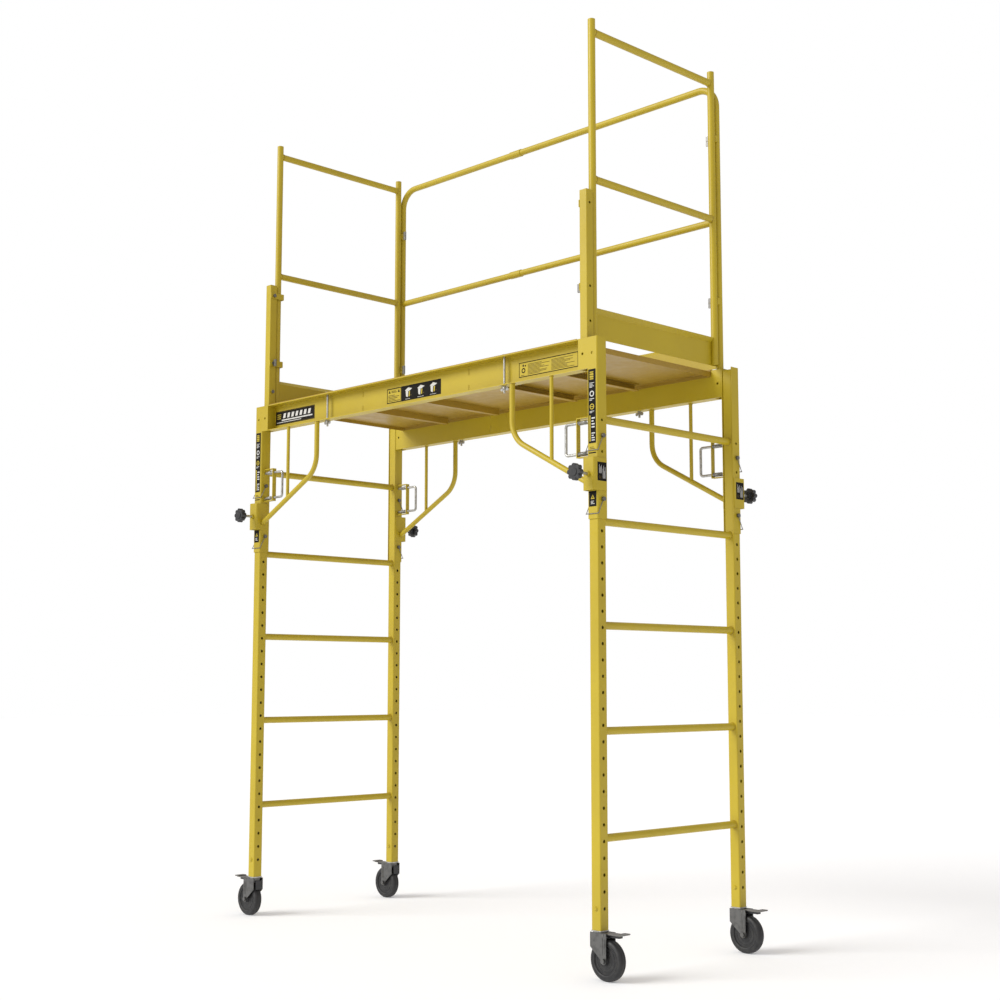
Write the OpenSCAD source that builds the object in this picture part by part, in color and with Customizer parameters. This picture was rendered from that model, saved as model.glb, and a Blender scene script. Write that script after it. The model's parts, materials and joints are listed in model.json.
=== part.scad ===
// Baker scaffold: two perforated end frames on swivel casters, with a height-adjustable guarded platform.
// Millimetres. Origin at the middle of the floor under the scaffold, X along the length, +Z up.
// Corner pieces are drawn once about their post's axis, with +X and +Y pointing away from the middle.

/* [Overall] */
// Distance between the post axes along the scaffold
span_x = 1813; // [1500:1:2400]
// Distance between the post axes across the scaffold
span_y = 705; // [600:1:1000]

/* [End frames] */
// Side of the square post tube
post_w = 38; // [32:1:50]
// Wall of the post tube
post_wall = 2.5; // [2:0.1:4]
// Outside corner radius of the post tube
post_r = 4; // [2.6:0.1:6]
// Length of a post
post_len = 1853; // [1400:1:2400]
// Diameter of the adjusting holes
hole_d = 11; // [10.2:0.1:14]
// Pitch of the adjusting holes
hole_pitch = 50.8; // [42:0.1:76]
// Height of the lowest hole above the foot of the post
hole_first = 65; // [60:1:70]
// Length of post left without holes at the top
hole_free = 40; // [30:1:60]
// Diameter of a rung tube
rung_d = 25; // [20:1:32]
// Wall of the rung and guardrail tubes
tube_wall = 2; // [1.5:0.1:3]
// Height of the lowest rung above the foot of the post
rung_first = 275.5; // [200:0.5:320]
// Pitch of the rungs
rung_pitch = 330; // [250:1:420]

/* [Casters] */
// Wheel diameter
wheel_d = 127; // [100:1:130]
// Width of the tread
wheel_w = 32; // [24:1:40]
// Overall height of a caster, floor to foot of post
caster_h = 151; // [149:1:180]
// Offset of the axle behind the swivel axis
caster_trail = 32; // [20:1:40]
// Axle diameter
axle_d = 10; // [8:1:12]
// Length of the brake pedal beyond the swivel axis
pedal_reach = 106; // [98:1:130]

/* [Platform rails and deck] */
// Height of a side rail
rail_h = 102; // [80:1:150]
// Height of the rail's top above the posts at the highest setting
rail_over = 8; // [4:1:20]
// Depth of the side rail's flanges
rail_depth = 40; // [30:1:50]
// Thickness of the rail section
rail_t = 3; // [2:0.1:5]
// Thickness of the deck sheet
deck_t = 2.5; // [1.5:0.1:4]
// Depth of the deck sheet's underside below the top of the rails
deck_sink = 12; // [8:1:20]
// Depth of the deck's turned-down edge below its underside
deck_edge = 12; // [8:1:20]
// Height of a rib under the deck
rib_h = 25; // [18:1:40]
// Distance of the inner ribs from the middle
rib_inner = 203; // [120:1:260]
// Distance of the outer ribs from the middle
rib_outer = 508; // [400:1:620]
// Distance of the hold-down rods from the middle
rod_x = 486; // [360:1:560]
// Diameter of a hold-down rod
rod_d = 8; // [6:1:10]

/* [Corner brackets] */
// Wall of the sleeve that slides on the post
sleeve_t = 2.5; // [2:0.1:4]
// Clearance between sleeve and post, each side
sleeve_gap = 0.6; // [0.3:0.1:1.5]
// Length of the sleeve below the lower snap pin
sleeve_tail = 63; // [30:1:80]
// Height of the clamp collar
collar_h = 105; // [90:1:130]
// Distance the collar stands out from the sleeve
collar_out = 21; // [15:1:30]
// Wall of the collar
collar_t = 3; // [2:0.1:5]
// Diameter of the clamp knob
knob_d = 55; // [45:1:70]
// Reach of the clamp knob's face beyond the post axis
knob_reach = 112; // [96:1:120]
// Height of the clamp knob above the middle between the pins over and under it
knob_rise = 2.8; // [0:0.1:6]
// Diameter of the clamp knob's stud
knob_stud_d = 10; // [8:1:12]
// Diameter of the curved gusset tube
gusset_d = 19; // [16:1:25]
// Diameter of the upright strut
strut_d = 13; // [10:1:16]
// Distance of the gusset tube from the post axis
gusset_x = 371; // [340:1:420]
// Bend radius of the gusset tube
gusset_r = 100; // [60:1:120]
// Slope of the gusset tube below the horizontal, degrees
gusset_slope = 28; // [22:1:32]
// Distance of the strut from the post axis
strut_x = 188; // [165:1:230]

/* [Pins] */
// Diameter of the sprung U-pin
upin_d = 9.5; // [8:0.1:10]
// Distance of the U-pin's back from the post axis
upin_back = 135; // [115:1:140]
// Distance of the guide strap from the post axis
strap_x = 81; // [70:1:90]
// Travel of the U-pin when it is pulled
upin_travel = 28; // [20:1:35]
// Diameter of a snap pin
snap_d = 9; // [8:0.1:10]
// Diameter of a snap pin's wire bail
bail_d = 2.6; // [2:0.1:4]
// Drop of the bail below its pin
bail_drop = 47; // [40:1:52]

/* [Guardrails] */
// Side of the square stub post
stub_w = 32; // [28:1:34]
// Wall of the stub post
stub_wall = 2; // [1.5:0.1:3]
// Height of a stub post above the platform
stub_rise = 498; // [400:1:600]
// Diameter of the guardrail tubes
guard_d = 25; // [20:1:28]
// Height of the top rail above the platform
top_rail = 1050; // [950:1:1150]
// Height of the mid rail above the platform
mid_rail = 544; // [450:1:640]
// Bend radius of the back guardrail's corners
guard_r = 78; // [50:1:120]
// Extra height of the end posts above the top rail
end_post_over = 43; // [20:1:80]
// Distance from the middle to the joint in the back guardrail
coupler_x = 158; // [100:1:300]
// Height of the toe board
toe_h = 98; // [90:1:150]
// Height of the toe board's foot above the rails
toe_gap = 12; // [9:1:25]
// Thickness of the toe board
toe_t = 2.5; // [1.5:0.1:4]

/* [Hidden] */
$fn = 48;
fit = 0.08;           // radial clearance of a running fit
butt_gap = 0.02;      // hairline between two lengths of tube that are butted together
slack = 0.5;          // clearance of a loose flat fit
bite = 0.5;           // overlap of pieces that are welded into one solid
post_x = span_x / 2;
post_y = span_y / 2;
post_top = caster_h + post_len;
// Rows of holes that the pins use, counted down from the top hole
UPIN_ROWS = [4, 6];
SNAP_ROWS = [5, 9];
hole_n = floor((post_len - hole_first - hole_free) / hole_pitch) + 1;
rung_n = floor((post_len - rung_first - rung_d) / rung_pitch) + 1;
rail_top = post_top + rail_over;
rail_z = rail_top - rail_h;
deck_z = rail_top - deck_sink;
web_y = post_y - post_w / 2;
flange_y = web_y + rail_depth;
rod_y = web_y + rail_depth / 2;
sleeve_in = post_w / 2 + sleeve_gap;
sleeve_out = sleeve_in + sleeve_t;
sleeve_z = hole_z(SNAP_ROWS[1]) - sleeve_tail;
pocket_in = stub_w / 2 + slack;
pocket_w = 2 * (pocket_in + sleeve_t);
guard_x = -(sleeve_out + stub_w / 2 + slack + sleeve_t);
pocket_end = guard_x - pocket_w / 2;
rail_end = post_x + pocket_end;
deck_end = rail_end - 9;
// Height of the clamp knob
knob_z = (hole_z(UPIN_ROWS[1]) + hole_z(SNAP_ROWS[1])) / 2 + knob_rise;
collar_z = knob_z - collar_h / 2;
collar_in = sleeve_out;
collar_o = collar_in + collar_t;
collar_y = sleeve_out + collar_out;
gusset_y = sleeve_out - strut_d / 2 - 3;
gusset_foot = knob_z - 26;
gusset_cross = gusset_foot + (gusset_x - collar_o) * tan(gusset_slope);
clamp_hi = 454;       // heights of the front clips above the platform
clamp_lo = 175;
back_clamp_hi = 845;  // heights of the back clips above the platform
back_clamp_lo = 245;
stub_bolt = 59;       // height of the stub's foot bolt above the platform
clip_t = 3;
clip_h = 24;
round_y = stub_w / 2 + clip_t + guard_d / 2;
back_y = 2.5;         // the back guardrail stands this far inside the pocket's middle
CORNERS = [["lf", -1, -1], ["rf", 1, -1], ["lb", -1, 1], ["rb", 1, 1]];
SHARED = ["rungs", "caster_stems", "caster_bolts", "rail_front", "rail_back",
    "deck_pan", "deck_ribs", "gusset_tubes", "gusset_struts", "pin_springs", "snap_pins",
    "holddown_rods", "guardrail_stubs", "guardrail_clips", "end_guardrail_left",
    "end_guardrail_right", "toe_boards", "back_guardrail_left", "back_guardrail_right",
    "guardrail_couplers"];
PER_CORNER = ["post", "caster_fork", "wheel", "brake_pedal", "bracket", "u_pin", "clamp_knob",
    "bail_upper", "bail_lower", "wing_nut"];

// Colours
YELLOW = [0.80, 0.73, 0.22];
ZINC = [0.72, 0.72, 0.72];
BLACK = [0.12, 0.12, 0.12];

// Height of the hole that lies this many rows below the top hole
function hole_z(row) = caster_h + hole_first + (hole_n - 1 - row) * hole_pitch;

module at_corner(c) {
    translate([c[1] * post_x, c[2] * post_y, 0])
        mirror([c[1] < 0 ? 1 : 0, 0, 0])
            mirror([0, c[2] < 0 ? 1 : 0, 0])
                children();
}

module at_corners() {
    for (c = CORNERS) at_corner(c) children();
}

// Square with true round corners
module round_square(w, r) {
    square([w, w - 2 * r], center = true);
    square([w - 2 * r, w], center = true);
    for (x = [-1, 1], y = [-1, 1])
        translate([x * (w / 2 - r), y * (w / 2 - r)]) circle(r);
}

// Upright square tube standing on z = 0
module square_tube(w, wall, r, h) {
    linear_extrude(h) difference() {
        round_square(w, r);
        square(w - 2 * wall, center = true);
    }
}

module ring(d, wall) {
    difference() {
        circle(d = d);
        circle(d = d - 2 * wall);
    }
}

// Round tube along +Z
module round_tube(d, wall, h) {
    linear_extrude(h) ring(d, wall);
}

// Cylinders along +X and +Y, centred on the origin
module cyl_x(d, l) {
    rotate([0, 90, 0]) cylinder(d = d, h = l, center = true);
}
module cyl_y(d, l) {
    rotate([90, 0, 0]) cylinder(d = d, h = l, center = true);
}
module hex_y(af, l) {
    rotate([90, 0, 0]) cylinder(d = af / cos(30), h = l, center = true, $fn = 6);
}
module hex_x(af, l) {
    rotate([0, 90, 0]) cylinder(d = af / cos(30), h = l, center = true, $fn = 6);
}

// ---- End frames ----

module post(c) {
    color(YELLOW) at_corner(c) translate([0, 0, caster_h]) difference() {
        square_tube(post_w, post_wall, post_r, post_len);
        for (i = [0 : hole_n - 1])
            translate([0, 0, hole_first + i * hole_pitch]) cyl_x(hole_d, post_w + 2);
        translate([0, 0, hole_first]) cyl_y(hole_d, post_w + 2);
    }
}

module rungs() {
    color(YELLOW)
        for (side = [-1, 1], i = [0 : rung_n - 1])
            translate([side * post_x, web_y, caster_h + rung_first + i * rung_pitch])
                rotate([90, 0, 0]) round_tube(rung_d, tube_wall, 2 * web_y);
}

module caster_stems() {
    plug = post_w - 2 * post_wall - slack;
    plate_t = 3;
    color(ZINC) at_corners() difference() {
        union() {
            translate([0, 0, caster_h - bite])
                linear_extrude(hole_first + 20 + bite) square(plug, center = true);
            translate([0, 0, caster_h - plate_t]) linear_extrude(plate_t) round_square(post_w + 3, 3);
            translate([0, 0, crown_top]) cylinder(d = post_w + 2, h = caster_h - plate_t - crown_top + bite);
        }
        translate([0, 0, caster_h + hole_first]) cyl_y(hole_d, post_w);
        translate([0, 0, caster_h + hole_first]) cyl_x(hole_d, post_w);
    }
}

module caster_bolts() {
    head = 5;
    color(YELLOW) at_corners() translate([0, 0, caster_h + hole_first]) {
        cyl_y(hole_d - 1, post_w + head);
        for (s = [0, 1]) mirror([0, s, 0]) translate([0, post_w / 2, 0]) rotate([-90, 0, 0])
            cylinder(d1 = 17, d2 = 9, h = head);
    }
}

// ---- Casters ----

crown_z = wheel_d + 5;
crown_top = caster_h - 5;
crown_r = 22;
leg_t = 3;
leg_y = wheel_w / 2 + 4;
crown_w = 2 * (leg_y + leg_t);
pedal_pin_x = 30;
pedal_pin_d = 6;
pedal_z = crown_top - 6;

module fork_leg() {
    boss = 11;
    shoulder = 30;
    linear_extrude(leg_t) difference() {
        union() {
            polygon([[-crown_r, crown_top], [caster_trail + boss, crown_top],
                [caster_trail + boss, wheel_d / 2], [caster_trail - boss, wheel_d / 2 + 2],
                [-crown_r, crown_z - shoulder]]);
            translate([caster_trail, wheel_d / 2]) circle(boss);
        }
        translate([pedal_pin_x, pedal_z]) circle(d = pedal_pin_d + 2 * fit);
    }
}

module caster_fork(c) {
    nut = 6;
    skirt_h = 30;
    color(ZINC) at_corner(c) {
        translate([0, 0, crown_z]) cylinder(r = crown_r, h = crown_top - crown_z);
        translate([-crown_r, -leg_y - bite, crown_z]) cube([2 * crown_r, 2 * (leg_y + bite), 4]);
        // skirt behind the wheel
        translate([-crown_r - 6, -14, crown_z - skirt_h]) cube([4, 28, skirt_h + 4]);
        translate([-crown_r - 6, -14, crown_z]) cube([8, 28, 4]);
        for (s = [-1, 1])
            translate([0, s > 0 ? leg_y + leg_t : -leg_y, 0]) rotate([90, 0, 0]) fork_leg();
        translate([caster_trail, 0, wheel_d / 2]) {
            cyl_y(axle_d, crown_w + 2 * nut);
            for (s = [-1, 1]) translate([0, s * (crown_w + nut) / 2, 0]) hex_y(14, nut);
        }
    }
}

module wheel(c) {
    hub_w = 2 * (leg_y - 0.3);
    hub_r = 13;
    r = wheel_d / 2;
    edge = 7;
    dish = 5;
    color(BLACK) at_corner(c) translate([caster_trail, 0, r]) rotate([90, 0, 0])
        rotate_extrude() difference() {
            union() {
                translate([0, -wheel_w / 2 + dish]) square([r - 16, wheel_w - 2 * dish]);
                translate([0, -hub_w / 2]) square([hub_r, hub_w]);
                translate([r - 20, -wheel_w / 2]) square([20 - edge, wheel_w]);
                translate([r - edge - 1, -wheel_w / 2 + edge]) square([edge + 1, wheel_w - 2 * edge]);
                for (s = [-1, 1]) translate([r - edge, s * (wheel_w / 2 - edge)]) circle(edge);
            }
            translate([-1, -hub_w]) square([1 + axle_d / 2 + fit, 2 * hub_w]);
        }
}

module brake_pedal(c) {
    w = 34;
    t = 3;
    rise = 2.5;
    tread = 22;
    lever = 58;
    color(ZINC) at_corner(c) translate([0, 0, pedal_z]) {
        translate([pedal_pin_x, 0, 0]) cyl_y(pedal_pin_d, crown_w + 2);
        translate([pedal_pin_x - 4, -w / 2, rise]) cube([pedal_reach - pedal_pin_x + 4 - tread / 2, w, t]);
        translate([pedal_reach - tread, -w / 2 - 2, rise + t - bite]) cube([tread, w + 4, t + 1]);
        // lever under the plate
        translate([pedal_pin_x - 4, -w / 2, -5]) cube([12, w, 5 + rise + bite]);
        translate([pedal_pin_x - 4, -w / 4, -6]) cube([lever, w / 2, 6 + rise + bite]);
    }
}

// ---- Corner brackets ----

module at_rows(rows) {
    for (r = rows) translate([0, 0, hole_z(r)]) children();
}

// Outline of a sheet folded round the post: open towards -Y, with rounded outer corners.
// half is half its outer width, out and back are its reach towards +Y and -Y.
module channel(half, t, out, back) {
    r = 2.4 * t;
    difference() {
        union() {
            translate([-half, -back]) square([2 * half, back + out - r]);
            translate([-half + r, 0]) square([2 * (half - r), out]);
            for (x = [-1, 1]) translate([x * (half - r), out - r]) circle(r);
        }
        translate([-half + t, -back - 1]) square([2 * (half - t), back + 1 + out - t]);
    }
}

module bracket(c) {
    strap_w = 17;
    strap_t = 3;
    strap_hi = hole_z(UPIN_ROWS[0]) + 16;
    strap_lo = hole_z(UPIN_ROWS[1]) - 13;
    nut = 8;
    cavity = c[2] < 0 ? 2 * pocket_in : guard_d + 2 * slack + 2 * back_y;
    color(YELLOW) at_corner(c) difference() {
        union() {
            // sleeve, open on the rung side
            translate([0, 0, sleeve_z]) linear_extrude(rail_top - sleeve_z)
                channel(sleeve_out, sleeve_t, sleeve_out, post_w / 2 + 2);
            // pocket for the guardrail post, with the end plate
            translate([pocket_end, -pocket_w / 2, rail_z])
                cube([-sleeve_out - pocket_end + bite, pocket_w / 2 + sleeve_out, rail_h]);
            translate([pocket_end, sleeve_in, rail_z])
                cube([2.4 * sleeve_t - sleeve_out - pocket_end, sleeve_t, rail_h]);
            // clamp collar
            translate([0, 0, collar_z]) linear_extrude(collar_h)
                channel(collar_o, collar_t + bite, collar_y, post_w / 2 - 1);
            translate([0, collar_y + nut / 2 - bite, knob_z]) hex_y(16, nut);
            // guide strap of the U-pin
            translate([-strap_x - strap_t / 2, -strap_w / 2, strap_lo])
                difference() {
                    cube([strap_x - sleeve_out + strap_t / 2 + bite, strap_w, strap_hi - strap_lo]);
                    translate([strap_t, -1, strap_t])
                        cube([strap_x, strap_w + 2, strap_hi - strap_lo - 2 * strap_t]);
                }
        }
        translate([guard_x, 0, rail_z - 1]) linear_extrude(rail_h + 2) square(cavity, center = true);
        at_rows(UPIN_ROWS) cyl_x(upin_d + 2 * fit, 2 * strap_x + 10);
        at_rows(SNAP_ROWS) cyl_x(snap_d + 2 * fit, 2 * sleeve_out + 2);
        translate([0, collar_y, knob_z]) cyl_y(knob_stud_d + 2 * fit, 2 * (nut + collar_t));
        // bolt holes of the end plate
        translate([guard_x, 0, rail_z + rail_h / 2]) cyl_y(9, 2 * sleeve_out + 2);
        translate([0, sleeve_out, rail_z + rail_h / 2 - 2]) cyl_y(9, 2 * sleeve_t + 4);
    }
}

// Curved gusset rod: upright under the rail and a bend, with a straight run butted on, to the collar
module gusset_rod(d, over) {
    turn = 90 - gusset_slope;
    bend_z = gusset_cross + gusset_r * tan(turn / 2);
    run = (gusset_x - collar_o) / cos(gusset_slope);
    translate([-gusset_x, gusset_y, bend_z]) {
        cylinder(d = d, h = rail_z + over - bend_z);
        translate([gusset_r, 0, 0]) rotate([90, 0, 0]) {
            rotate([0, 0, 180]) rotate_extrude(angle = turn) translate([gusset_r, 0]) circle(d = d);
            rotate([0, 0, 180 + turn]) translate([gusset_r, butt_gap, 0]) rotate([-90, 0, 0])
                cylinder(d = d, h = run);
        }
    }
}

module gusset_tubes() {
    color(YELLOW) at_corners() difference() {
        gusset_rod(gusset_d, 0);
        gusset_rod(gusset_d - 2 * tube_wall, 1);
        translate([-collar_o, -gusset_r, 0]) cube([gusset_x, 2 * gusset_r, post_top]);
    }
}

module gusset_struts() {
    foot = gusset_cross - (gusset_x - strut_x) * tan(gusset_slope);
    color(YELLOW) at_corners() difference() {
        translate([-strut_x, gusset_y, foot]) cylinder(d = strut_d, h = rail_z - foot);
        translate([-strut_x, gusset_y, foot]) rotate([0, 90 + gusset_slope, 0])
            cylinder(d = gusset_d, h = 4 * gusset_d, center = true);
    }
}

// ---- Pins ----

module u_pin(c) {
    reach = -post_w / 2 + 13;
    gap = hole_z(UPIN_ROWS[0]) - hole_z(UPIN_ROWS[1]);
    r = upin_d;
    color(ZINC) at_corner(c) translate([-upin_back, 0, hole_z(UPIN_ROWS[1])]) {
        translate([0, 0, r]) cylinder(d = upin_d, h = gap - 2 * r);
        for (s = [0, 1]) translate([r, 0, s * gap]) {
            rotate([0, 90, 0]) cylinder(d = upin_d, h = upin_back + reach - r);
            translate([0, 0, s ? -r : r]) rotate([90, 0, 0]) rotate([0, 0, s ? 90 : 180])
                rotate_extrude(angle = 90) translate([r, 0]) circle(d = upin_d);
        }
    }
}

module pin_springs() {
    coil_d = 15;
    coil_l = 39;
    seat = 2;
    color(ZINC) at_corners() at_rows(UPIN_ROWS)
        translate([-strap_x + seat, 0, 0]) rotate([0, 90, 0])
            round_tube(coil_d, (coil_d - upin_d) / 2 - 0.4, coil_l);
}

snap_half = sleeve_out + 9;

module snap_pins() {
    color(ZINC) at_corners() at_rows(SNAP_ROWS) {
        cyl_x(snap_d, 2 * snap_half);
        for (s = [-1, 1]) translate([s * (snap_half - 1), 0, 0]) cyl_x(14, 3);
    }
}

// Wire bail that hangs from both ends of a snap pin and lies on the sleeve
module bail(c, row) {
    x = sleeve_out + 4;
    y = sleeve_out + bail_d / 2 + 0.3;
    bore = snap_d + 2 * fit;
    reach = norm([y, bail_drop]);
    eye_w = bail_d + 0.6;
    color(ZINC) at_corner(c) translate([0, 0, hole_z(row)]) rotate([atan2(y, bail_drop), 0, 0]) {
        for (s = [-1, 1]) translate([s * x, 0, 0]) {
            rotate([0, 90, 0]) translate([0, 0, -eye_w / 2]) round_tube(bore + 2 * bail_d, bail_d, eye_w);
            translate([0, 0, -reach]) cylinder(d = bail_d, h = reach - bore / 2 - bail_d / 2);
        }
        translate([0, 0, -reach]) cyl_x(bail_d + 0.4, 2 * x + bail_d + 0.8);
    }
}

module clamp_knob(c) {
    lobes = 8;
    lobe_r = 8;
    thick = 17;
    hub = 12;
    stand = knob_reach - thick;
    color(BLACK) at_corner(c) translate([0, stand, knob_z]) {
        rotate([-90, 0, 0]) linear_extrude(thick) {
            circle(r = knob_d / 2 - lobe_r * 0.7);
            for (i = [0 : lobes - 1])
                rotate(i * 360 / lobes) translate([knob_d / 2 - lobe_r, 0]) circle(lobe_r);
        }
        rotate([-90, 0, 0]) translate([0, 0, -hub]) cylinder(d = 28, h = hub + thick + 2);
        rotate([-90, 0, 0]) translate([0, 0, -(stand - sleeve_out)])
            cylinder(d = knob_stud_d, h = stand - sleeve_out);
    }
}

// ---- Platform ----

// Channel opening outwards, standing across the XZ plane; y is measured from its back
module rail(side) {
    slit_w = 3;
    color(YELLOW) mirror([0, side < 0 ? 1 : 0, 0]) difference() {
        translate([-rail_end, web_y, rail_z]) cube([2 * rail_end, rail_depth, rail_h]);
        translate([-rail_end - 1, web_y + rail_t, rail_z + rail_t])
            cube([2 * rail_end + 2, rail_depth, rail_h - 2 * rail_t]);
        for (s = [-1, 1]) {
            translate([s * rod_x, rod_y, rail_z - 1])
                cylinder(d = rod_d + 1, h = rail_h + 2);
            translate([s * 0.6 * rod_x - slit_w / 2, web_y - 1, rail_z + 0.15 * rail_h])
                cube([slit_w, rail_t + 2, 0.18 * rail_h]);
            translate([s * 0.6 * rod_x - slit_w / 2, web_y - 1, rail_z + 0.66 * rail_h])
                cube([slit_w, rail_t + 2, 0.22 * rail_h]);
        }
    }
}

module deck_pan() {
    inner = web_y - 0.3;
    color(YELLOW) difference() {
        union() {
            translate([-deck_end, -inner, deck_z]) cube([2 * deck_end, 2 * inner, deck_t]);
            for (s = [0, 1]) mirror([0, s, 0]) {
                translate([-deck_end, inner - deck_t, deck_z - deck_edge])
                    cube([2 * deck_end, deck_t, deck_edge + deck_sink + deck_t]);
                translate([-deck_end, inner - deck_t, rail_top])
                    cube([2 * deck_end, flange_y - inner + deck_t, deck_t]);
            }
            for (s = [0, 1]) mirror([s, 0, 0])
                translate([deck_end - deck_t, -inner, deck_z - deck_edge])
                    cube([deck_t, 2 * inner, deck_edge + deck_sink - 5]);
        }
        for (sx = [-1, 1], sy = [-1, 1])
            translate([sx * rod_x, sy * rod_y, rail_top - 1])
                cylinder(d = rod_d + 1, h = deck_t + 2);
    }
}

// Channel ribs under the deck, opening away from the middle
module deck_ribs() {
    t = deck_t;
    depth = rib_h;
    half = web_y - 36;
    color(YELLOW) for (s = [0, 1], x = [rib_inner, rib_outer]) mirror([s, 0, 0])
        translate([x, half, deck_z - rib_h]) rotate([90, 0, 0]) linear_extrude(2 * half) difference() {
            square([depth, rib_h]);
            translate([t, t]) square([depth, rib_h - 2 * t]);
        }
}

module at_rods() {
    for (sx = [-1, 1], sy = [-1, 1])
        translate([sx * rod_x, sy * rod_y, 0]) children();
}

module holddown_rods() {
    tail = 24;
    color(ZINC) at_rods() {
        translate([0, 0, rail_z - tail]) cylinder(d = rod_d, h = rail_h + tail + deck_t + 1);
        translate([0, 0, rail_top + deck_t]) cylinder(d = 2 * rod_d, h = 5);
    }
}

module wing_nut(c) {
    hub_d = 15;
    hub_h = 13;
    color(ZINC) translate([c[1] * rod_x, c[2] * rod_y, rail_z - hub_h]) difference() {
        union() {
            cylinder(d = hub_d, h = hub_h);
            for (s = [-1, 1]) translate([s * 12, 0, 3]) cyl_y(13, 2.5);
        }
        translate([0, 0, -10]) cylinder(d = rod_d + 2 * fit, h = hub_h + 20);
    }
}

// ---- Guardrails ----

module at_guard(c) {
    at_corner(c) translate([guard_x, 0, 0]) children();
}

module guardrail_stubs() {
    for (c = [CORNERS[0], CORNERS[1]])
        color(YELLOW) at_guard(c) difference() {
            translate([0, 0, rail_z]) square_tube(stub_w, stub_wall, 3, rail_h + stub_rise);
            translate([0, 0, rail_z + rail_h / 2]) cyl_y(9, stub_w + 2);
            for (z = [stub_bolt, clamp_lo, clamp_hi])
                translate([0, 0, rail_top + z]) cyl_x(9, stub_w + 2);
        }
}

// One end: two upright tubes and two rails between them
module end_guardrail(side) {
    y = post_y - round_y;
    foot = rail_top + toe_gap;
    color(YELLOW) translate([side * (post_x + guard_x), 0, 0]) {
        for (s = [-1, 1]) translate([0, s * y, foot])
            round_tube(guard_d, tube_wall, rail_top + top_rail + end_post_over - foot);
        for (z = [top_rail, mid_rail]) difference() {
            translate([0, y, rail_top + z]) rotate([90, 0, 0]) round_tube(guard_d, tube_wall, 2 * y);
            for (s = [-1, 1]) translate([0, s * y, rail_top + z - guard_d])
                cylinder(d = guard_d, h = 2 * guard_d);
        }
    }
}

// Toe board section: an upright plate whose top edge is bent over towards +X
module toe_section(below = 0) {
    lip = 15;
    polygon([[0, -below], [toe_t, -below], [toe_t, toe_h - lip - 1], [lip + toe_t, toe_h - 1],
        [lip + 1, toe_h], [0, toe_h - lip]]);
}

module toe_boards() {
    y = post_y - round_y;
    end_x = post_x + guard_x;
    foot = rail_top + toe_gap;
    color(YELLOW) {
        for (s = [0, 1]) mirror([s, 0, 0]) difference() {
            translate([end_x - guard_d / 2 + 2, y, foot])
                rotate([90, 0, 0]) linear_extrude(2 * y) toe_section();
            for (t = [-1, 1]) translate([end_x, t * y, foot - 1])
                cylinder(d = guard_d + 0.1, h = toe_h + 2);
        }
        // back board, against the uprights of the back guardrail, standing on the deck's edge
        difference() {
            translate([-end_x - 3, post_y - back_y - guard_d / 2 - toe_t + 0.2, foot])
                rotate([90, 0, 90]) linear_extrude(2 * (end_x + 3)) toe_section(toe_gap - deck_t);
            for (s = [-1, 1]) translate([s * end_x, post_y - back_y, rail_top])
                cylinder(d = guard_d + 0.1, h = toe_gap + toe_h + 1);
        }
    }
}

// Half of the back guardrail: a tube bent at the corner and a mid rail
module back_guardrail(side) {
    y = post_y - back_y;
    end_x = post_x + guard_x;
    inner = side * -coupler_x;
    foot = rail_z + 6;
    color(YELLOW) mirror([side < 0 ? 1 : 0, 0, 0]) {
        difference() {
            translate([end_x, y, foot])
                round_tube(guard_d, tube_wall, rail_top + top_rail - guard_r - foot);
            translate([end_x, y, rail_z + rail_h / 2]) cyl_y(9, guard_d + 2);
        }
        translate([end_x - guard_r, y, rail_top + top_rail - guard_r]) rotate([90, 0, 0])
            rotate_extrude(angle = 90) translate([guard_r, 0]) ring(guard_d, tube_wall);
        translate([inner, y, rail_top + top_rail]) rotate([0, 90, 0])
            round_tube(guard_d, tube_wall, end_x - guard_r - inner);
        difference() {
            translate([inner, y, rail_top + mid_rail]) rotate([0, 90, 0])
                round_tube(guard_d, tube_wall, end_x - inner);
            translate([end_x, y, rail_top + mid_rail - guard_d])
                cylinder(d = guard_d, h = 2 * guard_d);
        }
    }
}

module guardrail_couplers() {
    l = 60;
    color(YELLOW) for (z = [top_rail, mid_rail])
        translate([-coupler_x - l / 2, post_y - back_y, rail_top + z]) rotate([0, 90, 0])
            round_tube(guard_d + 2 * fit + 2 * tube_wall, tube_wall, l);
}

// Clip plate on the inboard side, with a hook that turns round the round tube
module clip(from, to, wrap) {
    x = -stub_w / 2 - clip_t;
    translate([x, to, -clip_h / 2]) cube([clip_t, from - to, clip_h]);
    translate([x, to, -clip_h / 2]) cube([wrap, clip_t, clip_h]);
}

module clip_bolt(seat) {
    shank = 24;
    head = 6;
    color(ZINC) translate([-seat, 0, 0]) {
        translate([shank / 2, 0, 0]) cyl_x(8, shank);
        translate([-head / 2, 0, 0]) hex_x(13, head);
    }
}

// Saddle in the groove between two round tubes, with its wing bolt on the inboard side
module groove_clip() {
    spread = (round_y - back_y) / 2;
    color(YELLOW) difference() {
        cube([guard_d - 1, 14, clip_h], center = true);
        for (y = [-spread, spread]) translate([0, y, -clip_h])
            cylinder(d = guard_d + 0.1, h = 2 * clip_h);
    }
    color(ZINC) {
        translate([-20.5, 0, 0]) cyl_x(6, 27);
        translate([-28, 0, 0]) cube([14, 5, 36], center = true);
    }
}

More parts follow.
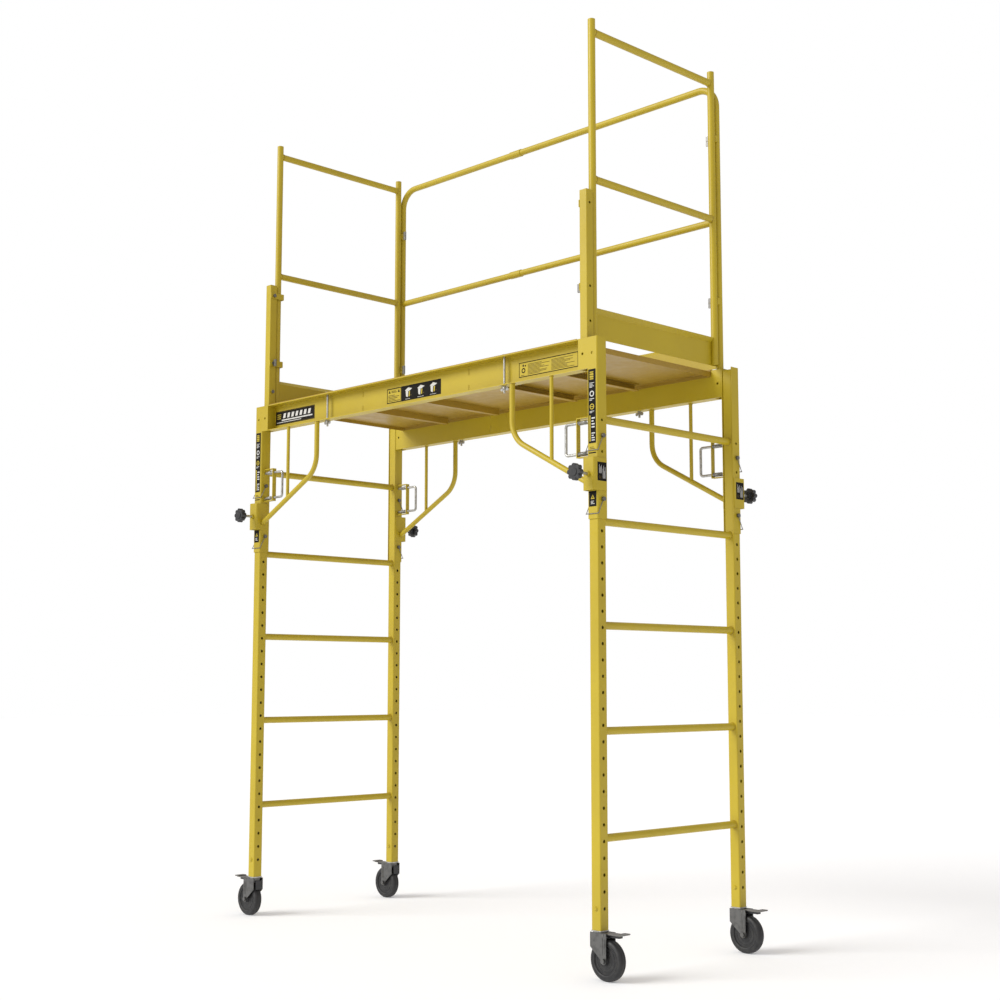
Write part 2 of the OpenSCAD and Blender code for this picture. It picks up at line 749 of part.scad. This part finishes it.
module guardrail_clips() {
    far = round_y + guard_d / 2 + 0.3 + clip_t;
    wrap = stub_w / 2 + clip_t;
    for (c = [CORNERS[0], CORNERS[1]]) {
        for (z = [clamp_lo, clamp_hi]) at_guard(c) translate([0, 0, rail_top + z]) {
            color(YELLOW) clip(stub_w / 2, -far, wrap);
            clip_bolt(wrap);
        }
        at_guard(c) translate([0, 0, rail_top + stub_bolt]) clip_bolt(stub_w / 2);
        // wing of the lower bolt
        color(ZINC) at_guard(c) translate([-wrap - 12, 0, rail_top + clamp_lo])
            cube([15, 5, 28], center = true);
    }
    for (c = [CORNERS[2], CORNERS[3]], z = [back_clamp_lo, back_clamp_hi])
        at_guard(c) translate([0, -(round_y + back_y) / 2, rail_top + z]) groove_clip();
}

rungs();
caster_stems();
caster_bolts();
rail(-1);  // rail_front
rail(1);  // rail_back
deck_pan();
deck_ribs();
gusset_tubes();
gusset_struts();
pin_springs();
snap_pins();
holddown_rods();
guardrail_stubs();
guardrail_clips();
end_guardrail(-1);  // end_guardrail_left
end_guardrail(1);  // end_guardrail_right
toe_boards();
back_guardrail(-1);  // back_guardrail_left
back_guardrail(1);  // back_guardrail_right
guardrail_couplers();
for (c = CORNERS) {
    post(c);
    caster_fork(c);
    wheel(c);
    brake_pedal(c);
    bracket(c);
    u_pin(c);
    clamp_knob(c);
    bail(c, SNAP_ROWS[0]);
    bail(c, SNAP_ROWS[1]);
    wing_nut(c);
}
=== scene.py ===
import json
import math
import bmesh
import bpy
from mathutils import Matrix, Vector


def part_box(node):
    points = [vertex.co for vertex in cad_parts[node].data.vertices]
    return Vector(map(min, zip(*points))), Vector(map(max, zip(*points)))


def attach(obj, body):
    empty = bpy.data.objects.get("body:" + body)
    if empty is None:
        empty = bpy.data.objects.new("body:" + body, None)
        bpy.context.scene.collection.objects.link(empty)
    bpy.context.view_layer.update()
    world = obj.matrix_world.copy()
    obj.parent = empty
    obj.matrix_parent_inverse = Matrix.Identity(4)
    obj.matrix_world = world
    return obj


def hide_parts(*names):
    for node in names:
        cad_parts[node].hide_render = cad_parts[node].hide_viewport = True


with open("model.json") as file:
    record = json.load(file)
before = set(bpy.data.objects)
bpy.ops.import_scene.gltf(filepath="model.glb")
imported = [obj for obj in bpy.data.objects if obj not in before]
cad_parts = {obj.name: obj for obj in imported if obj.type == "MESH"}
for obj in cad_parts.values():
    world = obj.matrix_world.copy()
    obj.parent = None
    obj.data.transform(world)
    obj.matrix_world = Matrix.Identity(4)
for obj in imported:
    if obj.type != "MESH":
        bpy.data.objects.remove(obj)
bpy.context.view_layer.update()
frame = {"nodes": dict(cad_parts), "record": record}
nodes = frame["nodes"]
# tag, side along x and side along y: left and front are negative
CORNERS = [("lf", -1, -1), ("rf", 1, -1), ("lb", -1, 1), ("rb", 1, 1)]

# ---------------------------------------------------------------- materials


class Graph:
    """A material's node tree with short helpers."""

    def __init__(self, name):
        self.material = bpy.data.materials.new(name)
        self.material.use_nodes = True
        self.tree = self.material.node_tree
        self.shader = self.tree.nodes["Principled BSDF"]
        self.coords = self.add("ShaderNodeTexCoord").outputs["Object"]

    def add(self, kind, **settings):
        node = self.tree.nodes.new(kind)
        for key, value in settings.items():
            if key in node.inputs:
                self.put(node.inputs[key], value)
            else:
                setattr(node, key, value)
        return node

    def put(self, socket, value):
        if isinstance(value, bpy.types.NodeSocket):
            self.tree.links.new(value, socket)
        else:
            socket.default_value = value

    def set(self, **values):
        for key, value in values.items():
            self.put(self.shader.inputs[key.replace("_", " ")], value)

    def stretched(self, scale):
        """Object coordinates, scaled by a different number along each axis."""
        node = self.add("ShaderNodeMapping")
        self.put(node.inputs["Vector"], self.coords)
        node.inputs["Scale"].default_value = scale
        return node.outputs["Vector"]

    def noise(self, scale, detail=3.0, rough=0.5, vector=None):
        node = self.add("ShaderNodeTexNoise", Scale=scale, Detail=detail, Roughness=rough)
        self.put(node.inputs["Vector"], vector or self.coords)
        return node.outputs["Fac"]

    def ramp(self, value, low, high, start=0.0, end=1.0):
        node = self.add("ShaderNodeMapRange")
        self.put(node.inputs["Value"], value)
        ends = (("From Min", low), ("From Max", high), ("To Min", start), ("To Max", end))
        for key, number in ends:
            self.put(node.inputs[key], number)
        return node.outputs["Result"]

    def math(self, operation, a, b=0.0):
        node = self.add("ShaderNodeMath", operation=operation)
        self.put(node.inputs[0], a)
        self.put(node.inputs[1], b)
        return node.outputs[0]

    def mix(self, factor, a, b):
        node = self.add("ShaderNodeMix", data_type="RGBA")
        self.put(node.inputs[0], factor)
        self.put(node.inputs[6], a)
        self.put(node.inputs[7], b)
        return node.outputs[2]

    def bump(self, height, strength, distance, normal=None):
        node = self.add("ShaderNodeBump")
        self.put(node.inputs["Strength"], strength)
        self.put(node.inputs["Distance"], distance)
        self.put(node.inputs["Height"], height)
        if normal is not None:
            self.put(node.inputs["Normal"], normal)
        return node.outputs["Normal"]

    def edges(self, radius):
        """About 1 along worn edges, 0 on flat faces."""
        bevel = self.add("ShaderNodeBevel", Radius=radius)
        bevel.samples = 4
        normal = self.add("ShaderNodeNewGeometry").outputs["Normal"]
        dot = self.add("ShaderNodeVectorMath", operation="DOT_PRODUCT")
        self.put(dot.inputs[0], bevel.outputs["Normal"])
        self.put(dot.inputs[1], normal)
        return self.ramp(dot.outputs["Value"], 0.99, 0.8)


def rgb(r, g, b):
    return (r, g, b, 1.0)


GRIME = rgb(0.30, 0.20, 0.02)
STREAK = rgb(0.20, 0.12, 0.018)
STREAK_STRETCH = (0.6, 26.0, 26.0)
BARE_EDGE = rgb(0.10, 0.085, 0.06)
EDGE_WEAR = 0.35
BRUSHED_STRETCH = (1.0, 1.0, 14.0)
DUST = rgb(0.20, 0.19, 0.17)


def powder_coat(name, base, deep, streaks=0.0):
    """Orange-peel paint with clouding, grime, chipped edges and, if asked for, streaks along x."""
    g = Graph(name)
    cloud = g.noise(3.2, 4.0)
    speck = g.noise(900.0, 2.0)
    colour = g.mix(g.ramp(cloud, 0.3, 0.7), base, deep)
    grime = g.ramp(g.noise(38.0, 5.0, 0.62), 0.58, 0.80, 0.0, 0.16)
    colour = g.mix(grime, colour, GRIME)
    if streaks:
        lines = g.noise(9.0, 5.0, 0.66, g.stretched(STREAK_STRETCH))
        colour = g.mix(g.ramp(lines, 0.42, 0.70, 0.0, streaks), colour, STREAK)
    chips = g.math("MULTIPLY", g.edges(0.0016), g.ramp(g.noise(110.0, 4.0, 0.7), 0.56, 0.62))
    colour = g.mix(g.math("MULTIPLY", chips, EDGE_WEAR), colour, BARE_EDGE)
    rough = g.ramp(g.noise(26.0, 4.0), 0.3, 0.7, 0.36, 0.50)
    g.set(Base_Color=colour, Roughness=rough)
    g.set(Normal=g.bump(speck, 0.18, 0.0006, g.bump(g.noise(160.0, 2.0), 0.12, 0.0015)))
    return g.material


def metal(name, base, rough=0.32, tint=rgb(0.16, 0.15, 0.13)):
    """Plated or bare steel with a drawn grain and stains of tint."""
    g = Graph(name)
    brushed = g.noise(220.0, 4.0, 0.6, g.stretched(BRUSHED_STRETCH))
    stain = g.noise(60.0, 5.0, 0.65)
    colour = g.mix(g.ramp(stain, 0.45, 0.72, 0.0, 0.75), base, tint)
    g.set(Base_Color=colour, Roughness=g.ramp(brushed, 0.3, 0.7, rough - 0.07, rough + 0.12))
    g.set(Metallic=0.85)
    g.set(Normal=g.bump(brushed, 0.12, 0.0004))
    return g.material


def moulded(name, base, rough=0.5, grain=700.0, depth=0.0004, dust=0.10, gloss=0.5):
    """Plastic, rubber or ink with a fine grain and a little dust."""
    g = Graph(name)
    g.set(Specular_IOR_Level=gloss)
    colour = g.mix(g.ramp(g.noise(60.0, 5.0, 0.6), 0.45, 0.75, 0.0, dust), base, DUST)
    sheen = g.ramp(g.noise(90.0, 3.0), 0.3, 0.7, rough - 0.06, rough + 0.1)
    g.set(Base_Color=colour, Roughness=sheen)
    g.set(Normal=g.bump(g.noise(grain, 2.0), 0.3, depth))
    return g.material


YELLOW = powder_coat("yellow_powder_coat", rgb(0.48, 0.365, 0.011), rgb(0.43, 0.320, 0.010))
# The deck's paint is a darker, browner copy of the yellow paint: painted shade for the deck's
# shaded underside. Its streaks along x are fine lines in the finish.
SHADED_DECK_PAINT = powder_coat("deck_paint_painted_shade", rgb(0.39, 0.245, 0.020), rgb(0.33, 0.205, 0.017), 0.45)
WELD = powder_coat("painted_weld", rgb(0.40, 0.28, 0.012), rgb(0.30, 0.20, 0.010))
ZINC = metal("zinc_plate", rgb(0.50, 0.50, 0.48))
DARK = metal("dark_steel", rgb(0.20, 0.195, 0.185), 0.36)
FORK = metal("pressed_fork_steel", rgb(0.15, 0.15, 0.148), 0.36, tint=rgb(0.07, 0.07, 0.068))
KNOB = moulded("black_nylon", rgb(0.018, 0.019, 0.022), 0.36)
RUBBER = moulded("wheel_rubber", rgb(0.012, 0.0125, 0.014), 0.50, 420.0, 0.0006, 0.10)
BLACK_INK = moulded("black_print", rgb(0.006, 0.005, 0.004), 0.55, 900.0, 0.0001, 0.03, 0.12)
WHITE_INK = moulded("white_print", rgb(0.62, 0.62, 0.60), 0.50, 900.0, 0.0001, 0.12, 0.3)
YELLOW_INK = moulded("yellow_print", rgb(0.50, 0.385, 0.03), 0.50, 900.0, 0.0001, 0.10, 0.3)
BROWN_INK = moulded("fine_print", rgb(0.10, 0.07, 0.012), 0.55, 900.0, 0.0001, 0.10, 0.15)

SLOT_MATERIAL = {
    "yellow_paint": YELLOW, "zinc": ZINC, "black_plastic": KNOB, "wheel_rubber": RUBBER,
}
# finishes of the nodes whose names begin so, whatever their slot
NODE_MATERIAL = {
    # the deck takes the darker deck paint, which is painted shade
    "caster_fork": FORK, "snap_pins": DARK, "bail": DARK, "deck": SHADED_DECK_PAINT, "brake_pedal": DARK,
}


def dress(name, first, second=None, chosen=None):
    """Gives a CAD node one finish, and a second to the faces whose centre chosen() picks."""
    obj = nodes[name]
    obj.data.materials.clear()
    obj.data.materials.append(first)
    if second:
        obj.data.materials.append(second)
        for face in obj.data.polygons:
            face.material_index = 1 if chosen(obj.matrix_world @ face.center) else 0


for part in frame["record"]["subparts"]:
    finish = SLOT_MATERIAL[part["material_slot"]]
    for key, special in NODE_MATERIAL.items():
        if part["node"].startswith(key):
            finish = special
    dress(part["node"], finish)

# the post axes lie at x = +-PX, y = +-PY
POST_LOW, POST_HIGH = (Vector(v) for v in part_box("post_rb"))
PX, PY = ((POST_LOW + POST_HIGH) / 2).xy
BOLT_X = 0.846  # the bolts of the guardrail clips lie nearer the middle than this
SKIRT_X = -0.0221  # the fork's rear skirt lies inboard of this, from the post's axis; its faces are made black, as dark as the tyres
STUD_Y = 0.0825  # the clamp's stud ends and its knob begins here, from the post's axis
PEDAL_Z = 0.1424  # the pedal's underside lies below this
PEDAL_HALF_Y = 0.0165

dress("guardrail_clips", YELLOW, DARK, lambda p: abs(p.x) < BOLT_X)
for tag, sx, sy in CORNERS:
    # faces of the fork inboard of SKIRT_X take the black finish, making a dark patch at the fork's
    # rear
    dress("caster_fork_" + tag, FORK, KNOB, lambda p, sx=sx: p.x * sx - PX < SKIRT_X)
    dress("clamp_knob_" + tag, KNOB, ZINC, lambda p, sy=sy: p.y * sy - PY < STUD_Y)
    dress("brake_pedal_" + tag, DARK, KNOB,
          lambda p, sy=sy: p.z < PEDAL_Z and abs(p.y * sy - PY) < PEDAL_HALF_Y)

# ---------------------------------------------------------------- pieces


SHARP_ANGLE = math.radians(38)


def piece(name, bm, body, slot, materials, *replaced):
    """Makes a visual piece from bm, riding on body, in place of the replaced CAD nodes."""
    mesh = bpy.data.meshes.new(name)
    bm.to_mesh(mesh)
    bm.free()
    made = bpy.data.objects.new(name, mesh)
    bpy.context.scene.collection.objects.link(made)
    for material in materials:
        mesh.materials.append(material)
    mesh.shade_smooth()
    mesh.set_sharp_from_angle(angle=SHARP_ANGLE)
    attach(made, body)
    if replaced:
        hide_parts(*replaced)


def bridge(bm, rings, closed=False):
    """Quads between successive rings of vertices."""
    pairs = list(zip(rings, rings[1:])) + ([(rings[-1], rings[0])] if closed else [])
    for a, b in pairs:
        for i in range(len(a)):
            bm.faces.new((a[i - 1], a[i], b[i], b[i - 1]))


def angles(count):
    return [2 * math.pi * i / count for i in range(count)]


def sweep(bm, path, radius, sides, closed=False):
    """Round wire along a path; radius is a number or a function of the place along it."""
    rings = []
    count = len(path)
    side = None
    for k, point in enumerate(path):
        ahead = path[(k + 1) % count] if closed or k < count - 1 else point
        behind = path[k - 1] if closed or k else point
        run = (ahead - behind).normalized()
        side = (side - run * side.dot(run)).normalized() if side else run.orthogonal().normalized()
        other = run.cross(side)
        r = radius(k) if callable(radius) else radius
        ring = [point + side * (r * math.cos(t)) + other * (r * math.sin(t)) for t in angles(sides)]
        rings.append([bm.verts.new(place) for place in ring])
    bridge(bm, rings, closed)
    if not closed:
        bm.faces.new(reversed(rings[0]))
        bm.faces.new(rings[-1])


def circle(centre, axis, radius, count):
    u = axis.orthogonal().normalized()
    v = axis.cross(u)
    return [centre + u * (radius * math.cos(t)) + v * (radius * math.sin(t)) for t in angles(count)]


def bead(bm, centre, axis, radius, size=0.0017):
    """Lumpy weld bead round a tube."""

    def lumpy(k):
        return size * (1.0 + 0.16 * math.sin(k * 2.4) + 0.08 * math.sin(k * 5.1))

    sweep(bm, circle(centre, axis, radius, 40), lumpy, 6, True)


U_PIN_RADIUS = 0.00475
COIL_RADIUS, COIL_WIRE = 0.0063, 0.00105
COIL_TURNS, COIL_STEPS = 10, 18
COIL_FROM, COIL_TO = 0.0788, 0.0402  # inboard of the post's axis


def springs():
    """A coil round each leg of each U-pin."""
    bm = bmesh.new()
    start, end = PX - COIL_FROM, PX - COIL_TO
    count = COIL_TURNS * COIL_STEPS
    for tag, sx, sy in CORNERS:
        low, high = (Vector(v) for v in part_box("u_pin_" + tag))
        for z in (low.z + U_PIN_RADIUS, high.z - U_PIN_RADIUS):
            path = []
            for k in range(count + 1):
                t = k / count
                a = 2 * math.pi * COIL_TURNS * t
                x = sx * (start + (end - start) * t)
                y = sy * PY + COIL_RADIUS * math.cos(a)
                path.append(Vector((x, y, z + COIL_RADIUS * math.sin(a))))
            sweep(bm, path, COIL_WIRE, 7)
    piece("pin_coil_springs", bm, "platform", "zinc", [ZINC], "pin_springs")


WHEEL_RADIUS, CASTER_TRAIL = 0.0635, 0.032
# one half of the wheel's section, as radius and distance from its middle plane in mm
WHEEL_PROFILE = (
    (5.1, 19.4), (6.0, 19.7), (9.0, 19.7), (12.2, 19.3), (13.0, 18.2), (13.4, 12.4),
    (14.6, 11.2), (21.5, 10.8), (22.6, 11.9), (24.6, 11.9), (25.7, 10.8), (33.0, 10.7),
    (34.1, 11.8), (36.1, 11.8), (37.2, 10.7), (41.8, 10.9), (43.4, 12.4), (44.4, 15.0),
    (46.0, 15.9), (49.0, 16.0), (49.6, 15.2), (50.8, 15.2), (51.4, 15.9), (55.4, 15.7),
    (58.4, 14.7), (61.2, 12.3), (62.9, 9.7), (63.5, 7.4), (63.5, 6.1), (62.8, 5.6),
    (62.8, 4.8), (63.5, 4.3), (63.5, 0.0),
)


def wheel(tag, sx, sy):
    bm = bmesh.new()
    centre = Vector((sx * (PX + CASTER_TRAIL), sy * PY, WHEEL_RADIUS))
    half = [(r / 1000, w / 1000) for r, w in WHEEL_PROFILE]
    profile = half + [(r, -w) for r, w in reversed(half[:-1])]
    rings = []
    for t in angles(72):
        ring = [centre + Vector((r * math.cos(t), w, r * math.sin(t))) for r, w in profile]
        rings.append([bm.verts.new(place) for place in ring])
    bridge(bm, rings, True)
    bmesh.ops.recalc_face_normals(bm, faces=bm.faces)
    piece("tyre_" + tag, bm, "wheel_body_" + tag, "wheel_rubber", [RUBBER], "wheel_" + tag)


RIBS = ((0.0285, 0.078, 0.134), (0.0375, 0.080, 0.132))  # x from the post's axis, z, z
RIB_RADIUS, RIB_STEPS = 0.0019, 14
FORK_FACE_Y = 0.0228


def fork_ribs(tag, sx, sy):
    """Pressed stiffening ribs on the outer faces of the fork, thin at their ends."""

    def swell(k):
        return RIB_RADIUS * math.sqrt(max(0.02, 1 - (2 * k / RIB_STEPS - 1) ** 6))

    bm = bmesh.new()
    for side in (-1, 1):
        for x, low, high in RIBS:
            path = []
            for k in range(RIB_STEPS + 1):
                z = low + (high - low) * k / RIB_STEPS
                path.append(Vector((sx * (PX + x), sy * PY + side * FORK_FACE_Y, z)))
            sweep(bm, path, swell, 10)
    piece("fork_ribs_" + tag, bm, "caster_" + tag, "zinc", [FORK])


RUNG_COUNT, RUNG_FIRST, RUNG_PITCH = 5, 0.4265, 0.33
RUNG_END_Y, RUNG_WELD = 0.0196, 0.0130  # from the post's axis; ring radius
GUARD_X, GUARD_END_Y, GUARD_WELD = 0.8654, 0.3085, 0.0128
GUARD_HEIGHTS = (3.062, 2.556)
TUBE_WELDS = ((0.371, 0.0099), (0.188, 0.0069))  # gusset and strut: x inboard, ring radius
TUBE_Y, TUBE_TOP = 0.0126, 1.9090
GUSSET_SLOPE = math.radians(28)
GUSSET_FOOT_X, GUSSET_FOOT_Z = 0.0262, 1.5396


def welds():
    frame_bm, deck_bm = bmesh.new(), bmesh.new()
    across, up = Vector((0, 1, 0)), Vector((0, 0, 1))
    for sx in (-1, 1):
        for side in (-1, 1):
            for k in range(RUNG_COUNT):
                z = RUNG_FIRST + RUNG_PITCH * k
                end = Vector((sx * PX, side * (PY - RUNG_END_Y), z))
                bead(frame_bm, end, across, RUNG_WELD)
            for z in GUARD_HEIGHTS:
                end = Vector((sx * GUARD_X, side * GUARD_END_Y, z))
                bead(deck_bm, end, across, GUARD_WELD, 0.0013)
    for tag, sx, sy in CORNERS:
        y = sy * (PY + TUBE_Y)
        for x, radius in TUBE_WELDS:
            bead(deck_bm, Vector((sx * (PX - x), y, TUBE_TOP)), up, radius, 0.0014)
        run = Vector((-sx * math.cos(GUSSET_SLOPE), 0, math.sin(GUSSET_SLOPE)))
        foot = Vector((sx * (PX - GUSSET_FOOT_X), y, GUSSET_FOOT_Z))
        bead(deck_bm, foot, run, 0.0100, 0.0015)
    piece("rung_welds", frame_bm, "end_frames", "yellow_paint", [WELD])
    piece("platform_welds", deck_bm, "platform", "yellow_paint", [WELD])


# ---------------------------------------------------------------- printed labels

INKS = [BLACK_INK, WHITE_INK, YELLOW_INK, BROWN_INK]
BLACK, WHITE, GOLD, FINE = range(4)
FILM = 0.12  # thickness of the label, and of each layer of ink, in mm


class Label:
    """A thin printed panel; places on it are in mm from its lower left corner."""

    def __init__(self, name, corner, across, width, height, ground):
        self.name, self.corner, self.across = name, Vector(corner), Vector(across)
        self.normal = self.across.cross(Vector((0, 0, 1)))
        self.bm = bmesh.new()
        self.width, self.height = width, height
        self.layer = 1
        self.bar(0, 0, width, height, ground)
        outline = ((0, 0), (width, 0), (width, height), (0, height))
        bridge(self.bm, [[self.bm.verts.new(self.at(x, y, lift)) for x, y in outline]
                         for lift in (0, FILM)])
        for face in self.bm.faces:
            face.material_index = ground
        self.layer = 2

    def at(self, x, y, lift):
        place = self.corner + self.across * (x / 1000) + Vector((0, 0, y / 1000))
        return place + self.normal * (lift / 1000)

    def shape(self, points, ink):
        places = [self.at(x, y, FILM * self.layer) for x, y in points]
        face = self.bm.faces.new([self.bm.verts.new(place) for place in places])
        face.material_index = ink

    def bar(self, x, y, w, h, ink, slant=0.0):
        self.shape(((x, y), (x + w, y), (x + w + slant, y + h), (x + slant, y + h)), ink)

    def ring(self, x, y, radius, thick, ink):
        for k in range(20):
            a, b = (2 * math.pi * v / 20 for v in (k, k + 1))
            self.shape([(x + r * math.cos(t), y + r * math.sin(t)) for r, t in
                        ((radius, a), (radius, b), (radius - thick, b), (radius - thick, a))], ink)

    def border(self, inset, thick, ink):
        w, h = self.width, self.height
        self.bar(inset, inset, w - 2 * inset, thick, ink)
        self.bar(inset, h - inset - thick, w - 2 * inset, thick, ink)
        self.bar(inset, inset + thick, thick, h - 2 * (inset + thick), ink)
        self.bar(w - inset - thick, inset + thick, thick, h - 2 * (inset + thick), ink)

    def lines(self, x, y, w, h, count, ink, upright=False):
        """Rows of dashes of uneven length, or columns if upright."""
        length, span = (h, w) if upright else (w, h)
        gap = span / count
        for k in range(count):
            size = length * (0.78 + 0.22 * math.sin(k * 2.3 + x))
            if upright:
                self.bar(x + k * gap, y, gap * 0.45, size, ink)
            else:
                self.bar(x, y + k * gap, size, gap * 0.45, ink)

    def done(self):
        piece(self.name, self.bm, "platform", "black_plastic", INKS)


RIGHT, BACK = (1, 0, 0), (0, 1, 0)
RAIL_WEB_Y = -0.3366
SLEEVE_FRONT, SLEEVE_HALF = 0.0222, 0.0158
COLLAR_SIDE = 0.0252


def rail_labels():
    """Labels along the web of the front rail."""
    panel = Label("label_rail_left", (-0.843, RAIL_WEB_Y, 1.932), RIGHT, 254, 55, BLACK)
    panel.border(2, 1.6, FINE)
    for k in range(7):
        panel.bar(48 + 27 * k, 25, 15, 19, WHITE, 5)
    panel.bar(40, 15, 200, 5, WHITE)
    panel.bar(8, 8, 160, 2.4, WHITE)
    for k in range(3):
        panel.bar(10, 24 + 8 * k, 24, 3, GOLD)
    panel.done()

    panel = Label("label_rail_notice", (-0.152, RAIL_WEB_Y, 1.931), RIGHT, 82, 56, GOLD)
    panel.border(0.5, 3.4, BLACK)
    panel.shape(((9, 38), (21, 38), (15, 49)), BLACK)
    panel.shape(((61, 38), (73, 38), (67, 49)), BLACK)
    panel.lines(26, 39, 31, 9, 2, BLACK)
    panel.lines(8, 7, 66, 27, 5, FINE)
    panel.done()

    panel = Label("label_rail_steps", (-0.070, RAIL_WEB_Y, 1.931), RIGHT, 216, 56, BLACK)
    for k in range(3):
        x = 20 + 68 * k
        panel.shape(((x, 38), (x + 22, 34), (x + 40, 42), (x + 18, 48)), WHITE)
        panel.shape(((x + 6, 16), (x + 16, 12), (x + 18, 34), (x + 4, 37)), WHITE)
        panel.bar(x + 20, 14, 6, 19, GOLD, 2)
        panel.bar(x + 31, 16, 5, 4, FINE)
        panel.lines(x + 2, 5, 34, 3, 1, WHITE)
    panel.done()

    panel = Label("label_rail_right", (0.539, RAIL_WEB_Y, 1.932), RIGHT, 274, 52, GOLD)
    panel.border(0.5, 2.8, BLACK)
    panel.ring(22, 23, 9, 4, BLACK)
    panel.ring(21, 40, 4, 3, BLACK)
    panel.bar(28, 36, 6, 5, BLACK)
    panel.lines(10, 6, 24, 4, 1, FINE)
    panel.lines(42, 7, 102, 38, 9, FINE)
    panel.lines(152, 7, 106, 38, 9, FINE)
    panel.done()


def bracket_labels():
    """Labels on the front sleeves and on the sides of the right collars."""
    front = -(PY + SLEEVE_FRONT)
    for tag, sx in (("lf", -1), ("rf", 1)):
        x = sx * PX - SLEEVE_HALF
        panel = Label("label_sleeve_" + tag, (x, front, 1.665), RIGHT, 31.6, 240, BLACK)
        panel.bar(6, 206, 16, 26, GOLD)
        for k in range(3):
            panel.bar(6, 210 + 8 * k, 16, 2.2, BLACK)
        panel.lines(5, 180, 20, 18, 5, WHITE)
        panel.ring(15, 160, 9.5, 3.5, WHITE)
        panel.lines(5, 138, 20, 9, 2, WHITE)
        panel.ring(15, 118, 9.5, 3, GOLD)
        panel.bar(9, 116.8, 12, 2.4, GOLD)
        panel.lines(5, 98, 20, 8, 2, WHITE)
        panel.bar(4, 6, 4.5, 84, GOLD)
        panel.lines(13, 50, 15, 38, 4, WHITE)
        panel.lines(13, 8, 15, 30, 4, WHITE)
        panel.done()
        panel = Label("label_step_" + tag, (x, front, 1.636), RIGHT, 31.6, 24, GOLD)
        panel.lines(5, 5, 22, 15, 3, FINE)
        panel.bar(0, -4, 31.6, 4, BLACK)
        panel.done()
        panel = Label("label_foot_" + tag, (x, front, 1.462), RIGHT, 31.6, 49, BLACK)
        panel.shape(((8, 24), (24, 24), (16, 38)), GOLD)
        panel.shape(((12.5, 27), (19.5, 27), (16, 33)), BLACK)
        panel.lines(8, 8, 16, 12, 3, WHITE)
        panel.done()

    side = PX + COLLAR_SIDE
    for tag, y in (("rf", -0.3790), ("rb", 0.3435)):
        panel = Label("label_collar_" + tag, (side, y, 1.543), BACK, 43, 60, BLACK)
        panel.lines(8, 24, 13, 28, 4, WHITE, True)
        panel.lines(25, 8, 14, 42, 4, WHITE, True)
        panel.lines(6, 6, 13, 12, 4, FINE, True)
        panel.done()


springs()
welds()
rail_labels()
bracket_labels()
for tag, sx, sy in CORNERS:
    wheel(tag, sx, sy)
    fork_ribs(tag, sx, sy)

# ---------------------------------------------------------------- stage, light, camera

FLOOR_HALF = 30.0


def plane(name, half, z):
    mesh = bpy.data.meshes.new(name)
    corners = [(-half, -half, z), (half, -half, z), (half, half, z), (-half, half, z)]
    mesh.from_pydata(corners, [], [(0, 1, 2, 3)])
    made = bpy.data.objects.new(name, mesh)
    bpy.context.scene.collection.objects.link(made)
    return made


floor = plane("floor", FLOOR_HALF, 0.0)
floor_look = Graph("floor_paint")
floor_tone = floor_look.mix(floor_look.noise(0.4), rgb(0.91, 0.92, 0.94), rgb(0.93, 0.94, 0.96))
floor_look.set(Base_Color=floor_tone)
floor_look.set(Roughness=0.9, Emission_Color=rgb(0.94, 0.97, 1.0), Emission_Strength=0.16)
floor.data.materials.append(floor_look.material)

# soft light all round, with a plain white backdrop where the camera sees past the floor
world = bpy.data.worlds.new("studio")
bpy.context.scene.world = world
world.use_nodes = True
sky = world.node_tree
soft = sky.nodes["Background"]
soft.inputs["Color"].default_value = rgb(1.0, 0.95, 0.92)
soft.inputs["Strength"].default_value = 0.54
backdrop = sky.nodes.new("ShaderNodeBackground")
backdrop.inputs["Color"].default_value = rgb(1.0, 1.0, 1.0)
choose = sky.nodes.new("ShaderNodeMixShader")
seen = sky.nodes.new("ShaderNodeLightPath")
sky.links.new(seen.outputs["Is Camera Ray"], choose.inputs["Fac"])
sky.links.new(soft.outputs[0], choose.inputs[1])
sky.links.new(backdrop.outputs[0], choose.inputs[2])
sky.links.new(choose.outputs[0], sky.nodes["World Output"].inputs["Surface"])


def sun(name, place, spread, strength, colour):
    """A soft sun shining from place towards the origin."""
    light = bpy.data.lights.new(name, "SUN")
    light.angle = math.radians(spread)
    light.energy = strength
    light.color = colour
    made = bpy.data.objects.new(name, light)
    made.location = place
    made.rotation_euler = (-Vector(place)).to_track_quat("-Z", "Y").to_euler()
    bpy.context.scene.collection.objects.link(made)


sun("key", (-2.4, -5.0, 3.3), 35, 2.5, (1.0, 1.0, 0.97))
sun("fill", (6.0, -1.0, 4.0), 60, 0.25, (1.0, 0.92, 0.85))

CAMERA_PLACE = Vector((4.150, -3.967, 0.915))
CAMERA_TURN = math.radians(45.52)
CAMERA_TILT = math.radians(6.64)
CAMERA_ROLL = math.radians(0.04)
SENSOR = 36.0
FOCAL_RATIO = 1.534  # focal length as a share of the sensor's width
camera_data = bpy.data.cameras.new("camera")
camera_data.sensor_width = SENSOR
camera_data.lens = SENSOR * FOCAL_RATIO
camera_data.clip_end = 200.0
camera_data.shift_x = -0.0011
camera_data.shift_y = 0.0015
camera = bpy.data.objects.new("camera", camera_data)
camera.location = CAMERA_PLACE
camera.rotation_euler = (math.pi / 2 + CAMERA_TILT, 0.0, CAMERA_TURN)
camera.rotation_euler.rotate_axis("Z", CAMERA_ROLL)
bpy.context.scene.collection.objects.link(camera)
bpy.context.scene.camera = camera
bpy.context.scene.view_settings.view_transform = "Standard"
